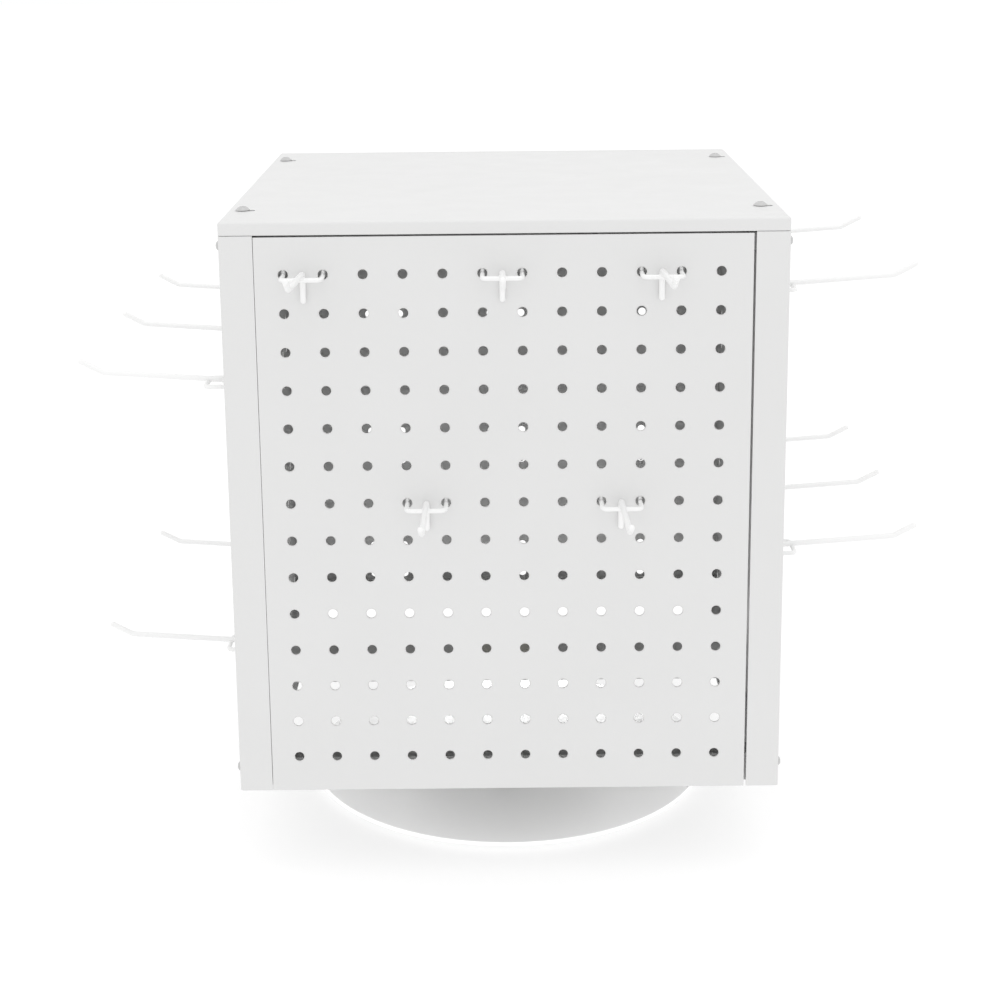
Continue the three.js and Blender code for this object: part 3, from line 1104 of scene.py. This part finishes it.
@dataclass
class CornerScrews:
    """The eight screws that hold the side walls to the rails."""

    shop: Workshop
    half: float = 182 * MM
    inset: float = 9 * MM
    low: float = 78 * MM
    high: float = 436.6 * MM

    def build(self) -> None:
        """Build each screw lying along X with its head outside."""
        for name, x, y in CORNERS:
            lean = np.array([[0, 0, x], [0, 1, 0], [-x, 0, 0]], float)
            for level, height in (("bottom", self.low), ("top", self.high)):
                screw = Screw(3.6 * MM, 2.3 * MM, 2.0 * MM, 7 * MM, turn=0.3 * x + y + 9 * height)
                place = (x * (self.half + 0.3 * MM), y * (self.half - self.inset), height)
                surface = screw.surface().leaned(lean).placed(0.0, place)
                node = f"side_screw_{name}_{level}"
                self.shop.piece(f"{node}_head", surface, Finish.SCREW_COAT, "body", node)


@dataclass
class Base:
    """The still base: disc, feet, hub, bolt and pole."""

    shop: Workshop
    disc_radius: float = 150 * MM
    disc_low: float = 4 * MM
    disc_high: float = 7 * MM
    bore: float = 5.3 * MM
    foot_radius: float = 12 * MM
    foot_circle: float = 125 * MM

    def ring(self, corners: list[tuple[float, float]], radius: float, segments: int) -> Surface:
        """Turn a closed profile with rounded corners.

        Args:
            corners: (radius, height) corners, out below and up outside.
            radius: Rounding of the corners.
            segments: Steps round the axis.

        Returns:
            The turned ring.
        """
        return turned(rounded_loop(np.array(corners) * MM, radius), segments)

    def build(self) -> None:
        """Build the base pieces."""
        disc = turned(
            rounded_loop(
                np.array([
                    [self.bore, self.disc_low],
                    [self.disc_radius, self.disc_low],
                    [self.disc_radius, self.disc_high],
                    [self.bore, self.disc_high],
                ]),
                1.2 * MM,
                6,
            ),
            192,
        )
        # The disc takes the lightened white paint, a painted light against the shade under the
        # body.
        self.shop.piece("base_disc_plate", disc, Finish.BASE_COAT_PAINTED_LIGHT, "base", "base_disc")
        for foot in range(4):
            angle = math.pi / 4 + foot * math.pi / 2
            profile = rounded_line(
                np.array([
                    [0, 0], [self.foot_radius, 0], [self.foot_radius, 3.7 * MM], [0, 3.7 * MM],
                ]),
                [0.9 * MM, 0.5 * MM],
            )
            place = (self.foot_circle * math.cos(angle), self.foot_circle * math.sin(angle), 0.0)
            self.shop.piece(
                f"base_foot_{foot + 1}_pad",
                turned(profile, 48).placed(0.0, place),
                Finish.RUBBER,
                "base",
                f"base_foot_{foot + 1}",
            )
        hub = self.ring(
            [(9.8, 7.3), (26, 7.3), (26, 11), (17, 12.2), (16, 19), (9.8, 19)], 0.5 * MM, 64
        )
        self.shop.piece("base_hub_turned", hub, Finish.ZINC_STEEL, "base", "base_hub")
        pole = turned(
            rounded_line(
                np.array([
                    [0, 35], [5.3, 35], [5.3, 7.3], [9.5, 7.3], [9.5, 430], [0, 430],
                ]) * MM,
                [0.4 * MM, 0.5 * MM, 0.5 * MM, 1.2 * MM],
            ),
            48,
        )
        self.shop.piece("pole_tube", pole, Finish.ZINC_STEEL, "base", "pole")
        bolt = turned(
            rounded_line(
                np.array([
                    [0, 0.8], [9, 0.8], [9, 3.7], [5, 3.7], [5, 33], [0, 33],
                ]) * MM,
                [0.4 * MM, 0.4 * MM, 0.3 * MM, 0.8 * MM],
            ),
            36,
        )
        self.shop.piece("pole_bolt_turned", bolt, Finish.ZINC_STEEL, "base", "pole_bolt")


@dataclass
class InnerFrame:
    """Rails, crossbars and bushes inside the body, kept as packed."""

    shop: Workshop

    def build(self) -> None:
        """Give the inner pieces their finishes."""
        for node in ("rail_bottom_front", "rail_bottom_back", "rail_top_front", "rail_top_back"):
            self.shop.keep(node, Finish.WALL_COAT)
        for node in ("crossbar_bottom", "crossbar_top"):
            self.shop.keep(node, Finish.WALL_COAT)
        for node in ("bush_bottom", "bush_top"):
            self.shop.keep(node, Finish.NYLON)


@dataclass
class Hook:
    """Welded wire hook that hangs in two neighbouring holes, pointing to -Y."""

    sheet: float = 1.2 * MM
    pitch: float = 25.4 * MM
    prong: float = 1.5 * MM
    arm: float = 1.9 * MM
    reach: float = 14.6 * MM
    prong_height: float = -0.8 * MM
    leg_top: float = 10.5 * MM
    arm_height: float = 1.75 * MM
    slope: float = math.tan(math.radians(4.1))
    bend_reach: float = 83.6 * MM
    tip_reach: float = 99.3 * MM
    tip_rise: float = 8.2 * MM
    tail: float = -18.3 * MM

    def surface(self) -> Surface:
        """Work out the hook about the middle of its two holes.

        The loop is one wire: up behind the sheet, out through a hole, across and back. The
        arm is a second wire on top of it: down against the sheet, outwards with a slight
        rise, and up at the tip.

        Returns:
            The hook's two wires and their weld.
        """
        inside = self.sheet + self.prong + 0.35 * MM
        half = self.pitch / 2
        loop = rounded_line(
            np.array([
                [-half, inside, self.leg_top],
                [-half, inside, self.prong_height],
                [-half, -self.reach, self.prong_height],
                [half, -self.reach, self.prong_height],
                [half, inside, self.prong_height],
                [half, inside, self.leg_top],
            ]),
            [2.0 * MM, 3.4 * MM, 3.4 * MM, 2.0 * MM],
            7,
        )
        root = -(self.arm + 0.35 * MM)
        height = self.arm_height
        bend_height = height + (self.bend_reach - self.reach) * self.slope
        root_height = height + (-root - self.reach) * self.slope
        arm = rounded_line(
            np.array([
                [0, root, self.tail],
                [0, root, root_height],
                [0, -self.bend_reach, bend_height],
                [0, -self.tip_reach, bend_height + self.tip_rise],
            ]),
            [4.2 * MM, 9.0 * MM],
            9,
        )
        weld = bead(
            (0, -self.reach, (self.prong_height + height) / 2),
            (2.6 * MM, 2.1 * MM, 1.3 * MM),
        )
        return wire(loop, self.prong, (1, 1, 1), 14).joined(
            wire(arm, self.arm, (1, 0, 0), 16), weld
        )


@dataclass
class Hooks:
    """The twenty hooks and the holes they hang in."""

    shop: Workshop
    pitch: float = 25.4 * MM
    lowest_row: float = 88.5 * MM
    rows: int = 14
    half: float = 182 * MM
    face_grid: float = -1.6 * MM
    places: dict[Facing, tuple[tuple[int, float], ...]] = field(default_factory=lambda: {
        Facing.FRONT: ((1, 1.5), (1, 6.5), (1, 10.5), (7, 4.5), (7, 9.5)),
        Facing.RIGHT: ((2, 3.5), (2, 11.5), (9, 2.5), (9, 7.5), (9, 12.5)),
        Facing.BACK: ((3, 3.5), (3, 9.5), (10, 1.5), (10, 6.5), (10, 11.5)),
        Facing.LEFT: ((4, 1.5), (4, 7.5), (4, 13.5), (12, 3.5), (12, 11.5)),
    })

    def build(self) -> None:
        """Hang a hook at each place, given as a row from the top and a column."""
        hook = Hook().surface()
        for facing, places in self.places.items():
            narrow = facing in (Facing.FRONT, Facing.BACK)
            columns, grid = (12, self.face_grid) if narrow else (14, 0.0)
            for number, (row, column) in enumerate(places, 1):
                along = grid + (column - (columns + 1) / 2) * self.pitch
                height = self.lowest_row + (self.rows - row) * self.pitch
                node = f"hook_{facing.name.lower()}_{number}"
                surface = hook.placed(0.0, (along, -self.half, height)).placed(facing.value)
                self.shop.piece(f"{node}_wire", surface, Finish.WIRE_COAT, node, node)


# --------------------------------------------------------------------------- studio


@dataclass
class Studio:
    """Pale floor, soft light and the camera."""

    camera_place: tuple[float, float, float] = (-4.24 * MM, -1355.4 * MM, 638.0 * MM)
    tilt: float = 0.2178
    yaw: float = -0.0007
    roll: float = 0.0096
    lens: float = 67.49
    shift: float = -0.165
    low_reach: float = 1.15
    low_height: float = 0.43
    low_size: float = 0.3
    low_power: float = 8.5

    def camera(self) -> None:
        """Aim the camera down by its tilt, turned by its yaw and roll."""
        data = bpy.data.cameras.new("camera")
        data.lens = self.lens
        data.sensor_width = 36.0
        data.shift_y = self.shift
        data.clip_start = 0.05
        data.clip_end = 60.0
        camera = bpy.data.objects.new("camera", data)
        bpy.context.scene.collection.objects.link(camera)
        right = np.array([math.cos(self.yaw), math.sin(self.yaw), 0.0])
        level = np.array([-math.sin(self.yaw), math.cos(self.yaw), 0.0])
        forward = math.cos(self.tilt) * level - math.sin(self.tilt) * np.array([0, 0, 1.0])
        up = math.sin(self.tilt) * level + math.cos(self.tilt) * np.array([0, 0, 1.0])
        cosine, sine = math.cos(self.roll), math.sin(self.roll)
        rolled_right = cosine * right - sine * up
        rolled_up = cosine * up + sine * right
        turn = np.eye(4)
        turn[:3, 0], turn[:3, 1], turn[:3, 2] = rolled_right, rolled_up, -forward
        turn[:3, 3] = self.camera_place
        camera.matrix_world = Matrix(turn.tolist())
        bpy.context.scene.camera = camera

    def lamp(
        self,
        name: str,
        place: tuple[float, float, float],
        size: float,
        power: float,
        disc: bpy.types.Object | None = None,
    ) -> bpy.types.Object:
        """Add a square soft lamp aimed at the middle of the stand.

        Args:
            name: Name of the lamp.
            place: Where it is.
            size: Length of its side.
            power: Its power in watts.
            disc: The one piece it lights, or None for all.

        Returns:
            The lamp.
        """
        data = bpy.data.lights.new(name, "AREA")
        data.shape = "SQUARE"
        data.size = size
        data.energy = power
        lamp = bpy.data.objects.new(name, data)
        bpy.context.scene.collection.objects.link(lamp)
        away = np.array(place) - np.array([0, 0, 0.25])
        away /= np.linalg.norm(away)
        side = np.cross([0, 1e-3, 1], away)
        side /= np.linalg.norm(side)
        turn = np.eye(4)
        turn[:3, 0], turn[:3, 1], turn[:3, 2] = side, np.cross(away, side), away
        turn[:3, 3] = place
        lamp.matrix_world = Matrix(turn.tolist())
        lamp.visible_camera = False
        if disc is not None:
            self.link(lamp, disc, "INCLUDE")
        return lamp

    def link(self, lamp: bpy.types.Object, piece: bpy.types.Object, state: str) -> None:
        """Let a lamp light only one piece, or everything but that piece.

        Args:
            lamp: The lamp.
            piece: The piece.
            state: INCLUDE or EXCLUDE.
        """
        lit = bpy.data.collections.new(f"{lamp.name}_{state.lower()}")
        lit.objects.link(piece)
        lamp.light_linking.receiver_collection = lit
        lit.collection_objects[0].light_linking.link_state = state

    def floor(self) -> None:
        """Lay a wide pale floor under the feet."""
        mesh = bpy.data.meshes.new("floor")
        reach = 14.0
        points = [(-reach, -reach, 0), (reach, -reach, 0), (reach, reach, 0), (-reach, reach, 0)]
        mesh.from_pydata(points, [], [(0, 1, 2, 3)])
        floor = bpy.data.objects.new("floor", mesh)
        bpy.context.scene.collection.objects.link(floor)
        nodes = Nodes("pale floor")
        tone = nodes.blended(nodes.noise(3.0, 3.0), (0.34, 0.34, 0.34), (0.36, 0.36, 0.36))
        nodes.join(tone, nodes.shader.inputs["Base Color"])
        nodes.shader.inputs["Roughness"].default_value = 0.9
        nodes.shader.inputs["Specular IOR Level"].default_value = 0.1
        nodes.shader.inputs["Emission Color"].default_value = (1, 1, 1, 1)
        nodes.shader.inputs["Emission Strength"].default_value = 0.71
        mesh.materials.append(nodes.material)

    def world(self) -> None:
        """Surround the stand with even white light."""
        world = bpy.data.worlds.new("white room")
        world.use_nodes = True
        background = world.node_tree.nodes["Background"]
        background.inputs["Color"].default_value = (1, 1, 1, 1)
        background.inputs["Strength"].default_value = 1.0
        bpy.context.scene.world = world

    def build(self) -> None:
        """Set up the camera, the floor and the lights."""
        scene = bpy.context.scene
        scene.view_settings.view_transform = "Standard"
        scene.view_settings.look = "None"
        self.camera()
        self.floor()
        self.world()

    def light(self, disc: bpy.types.Object) -> None:
        """Light the body from above and the base under it from low on each side.

        Args:
            disc: The disc of the base.
        """
        for name, place, size, power in (
            ("overhead", (0.1, -0.35, 2.4), 1.6, 7.0),
            ("front_fill", (-0.7, -2.4, 1.2), 1.2, 0.8),
        ):
            self.link(self.lamp(name, place, size, power), disc, "EXCLUDE")
        for facing in Facing:
            x = self.low_reach * math.sin(facing.value)
            y = -self.low_reach * math.cos(facing.value)
            name = f"low_{facing.name.lower()}"
            self.lamp(name, (x, y, self.low_height), self.low_size, self.low_power, disc)


def main() -> None:
    """Build the stand, its finishes and the studio."""
    logging.basicConfig(level=logging.INFO, format="%(message)s")
    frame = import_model()
    studio = Studio()
    studio.build()
    shop = Workshop(frame["nodes"], Paint())
    for assembly in (
        Base(shop),
        Walls(shop),
        InnerFrame(shop),
        Cover(shop),
        CornerScrews(shop),
        Hooks(shop),
    ):
        assembly.build()
        log.info("%s done", type(assembly).__name__)
    studio.light(bpy.data.objects["base_disc_plate"])


if __name__ == "__main__":
    main()
